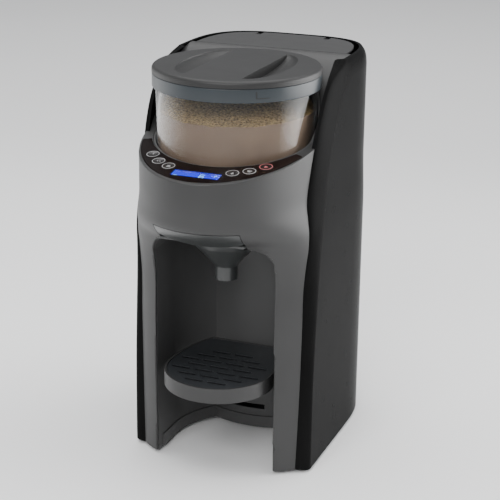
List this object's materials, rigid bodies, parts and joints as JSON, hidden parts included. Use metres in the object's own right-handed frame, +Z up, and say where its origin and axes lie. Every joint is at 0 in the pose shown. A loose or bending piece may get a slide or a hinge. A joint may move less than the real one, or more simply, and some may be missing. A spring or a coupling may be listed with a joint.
{
  "type": "formula dispenser",
  "caption": "Countertop machine that meters powder from a clear lidded hopper, heats tank water and mixes both through a funnel into a bottle on a drip tray.",
  "frame": {"origin": "on the standing surface, under the centre of the bounding box", "axes": "+Z up, +X to the right of someone facing the control panel, +Y towards the back"},
  "size_m": [0.163, 0.252, 0.34],
  "materials": {
    "housing_grey": "fine moulded satin grain",
    "shell_black": "polished gloss",
    "bay_grey": "satin",
    "inner_grey": "plain moulded",
    "panel_black": "gloss",
    "display_blue": "back-lit display",
    "clear_plastic": "clear and polished",
    "smoke_plastic": "smoke tinted",
    "skirt_blue_grey": "satin gloss",
    "lid_grey": "fine moulded satin grain",
    "funnel_grey": "satin gloss",
    "grate_black": "satin",
    "key_black": "satin gloss",
    "gear_white": "natural acetal",
    "silicone": "soft matte",
    "rubber": "matte",
    "steel": "brushed",
    "aluminium": "cast",
    "board_green": "solder resist"
  },
  "bodies": {
    "machine": {"front_housing": "housing_grey", "rear_shell": "shell_black", "bay_liner": "bay_grey", "base_plate": "inner_grey", "control_panel": "panel_black", "lcd_window": "clear_plastic", "lcd_module": "display_blue", "display_board": "board_green", "container_seat": "inner_grey", "main_board": "board_green", "power_inlet": "inner_grey", "water_pump": "steel", "heater": "aluminium", "supply_hose": "silicone", "heater_hose": "silicone", "spout_hose": "silicone", "water_spout": "silicone", "drive_motor": "steel", "tank_socket": "inner_grey", "tank_shelf": "inner_grey", "tank_bay_wall": "inner_grey", "foot_1": "rubber", "foot_2": "rubber", "foot_3": "rubber", "foot_4": "rubber", "base_screw_1": "steel", "base_screw_2": "steel", "base_screw_3": "steel", "base_screw_4": "steel", "base_screw_5": "steel", "base_screw_6": "steel"},
    "container": {"powder_container": "clear_plastic", "container_base": "inner_grey", "scraper_plate": "inner_grey"},
    "rotor": {"metering_wheel": "gear_white", "stirrer": "gear_white"},
    "pinion": {"drive_pinion": "gear_white"},
    "seal": {"lid_seal": "silicone"},
    "lid": {"lid_top": "lid_grey", "lid_skirt": "skirt_blue_grey"},
    "funnel": {"mixing_funnel": "funnel_grey", "funnel_cover": "funnel_grey"},
    "tray": {"drip_tray": "housing_grey"},
    "grate": {"drip_grate": "grate_black"},
    "tank": {"water_tank": "smoke_plastic", "hinge_pin": "steel"},
    "tank_cover": {"tank_lid": "housing_grey"},
    "valve": {"tank_valve": "silicone"},
    "water_down_key": {"water_down_button": "key_black"},
    "powder_key": {"powder_button": "key_black"},
    "start_key": {"start_button": "key_black"},
    "size_key": {"size_button": "key_black"},
    "unit_key": {"unit_button": "key_black"},
    "power_key": {"power_button": "key_black"}
  },
  "joints": [
    {"name": "container_lift", "type": "slide", "parent": "machine", "child": "container", "axis": [0, 0, 1], "range_m": [0, 0.12]},
    {"name": "wheel_spin", "type": "hinge", "parent": "container", "child": "rotor", "pos_m": [0, -0.024, 0.253], "axis": [0, 0, 1], "continuous": true},
    {"name": "pinion_spin", "type": "hinge", "parent": "machine", "child": "pinion", "pos_m": [0, 0.0489, 0.253], "axis": [0, 0, 1], "continuous": true},
    {"name": "lid_lift", "type": "slide", "parent": "container", "child": "seal", "axis": [0, 0, 1], "range_m": [0, 0.06]},
    {"name": "lid_twist", "type": "hinge", "parent": "seal", "child": "lid", "pos_m": [0, -0.024, 0.334], "axis": [0, 0, 1], "range_deg": [0, 30]},
    {"name": "funnel_slide", "type": "slide", "parent": "machine", "child": "funnel", "axis": [0, -1, 0], "range_m": [0, 0.115]},
    {"name": "tray_slide", "type": "slide", "parent": "machine", "child": "tray", "axis": [0, -1, 0], "range_m": [0, 0.135]},
    {"name": "grate_lift", "type": "slide", "parent": "tray", "child": "grate", "axis": [0, 0, 1], "range_m": [0, 0.04]},
    {"name": "tank_lift", "type": "slide", "parent": "machine", "child": "tank", "axis": [0, 0, 1], "range_m": [0, 0.28]},
    {"name": "tank_lid_open", "type": "hinge", "parent": "tank", "child": "tank_cover", "pos_m": [0, 0.112, 0.337], "axis": [-1, 0, 0], "range_deg": [0, 56]},
    {"name": "valve_lift", "type": "slide", "parent": "tank", "child": "valve", "axis": [0, 0, 1], "range_m": [0, 0.003], "stiffness_N_per_m": 60},
    {"name": "water_down_press", "type": "slide", "parent": "machine", "child": "water_down_key", "axis": [0, 0.1771, -0.9842], "range_m": [0, 0.0006], "stiffness_N_per_m": 500},
    {"name": "powder_press", "type": "slide", "parent": "machine", "child": "powder_key", "axis": [0, 0.1771, -0.9842], "range_m": [0, 0.0006], "stiffness_N_per_m": 500},
    {"name": "start_press", "type": "slide", "parent": "machine", "child": "start_key", "axis": [0, 0.1771, -0.9842], "range_m": [0, 0.0006], "stiffness_N_per_m": 500},
    {"name": "size_press", "type": "slide", "parent": "machine", "child": "size_key", "axis": [0, 0.1771, -0.9842], "range_m": [0, 0.0006], "stiffness_N_per_m": 500},
    {"name": "unit_press", "type": "slide", "parent": "machine", "child": "unit_key", "axis": [0, 0.1771, -0.9842], "range_m": [0, 0.0006], "stiffness_N_per_m": 500},
    {"name": "power_press", "type": "slide", "parent": "machine", "child": "power_key", "axis": [0, 0.1771, -0.9842], "range_m": [0, 0.0006], "stiffness_N_per_m": 500}
  ],
  "couplings": [
    {"joint": "pinion_spin", "follows": "wheel_spin", "ratio": -4.8}
  ]
}
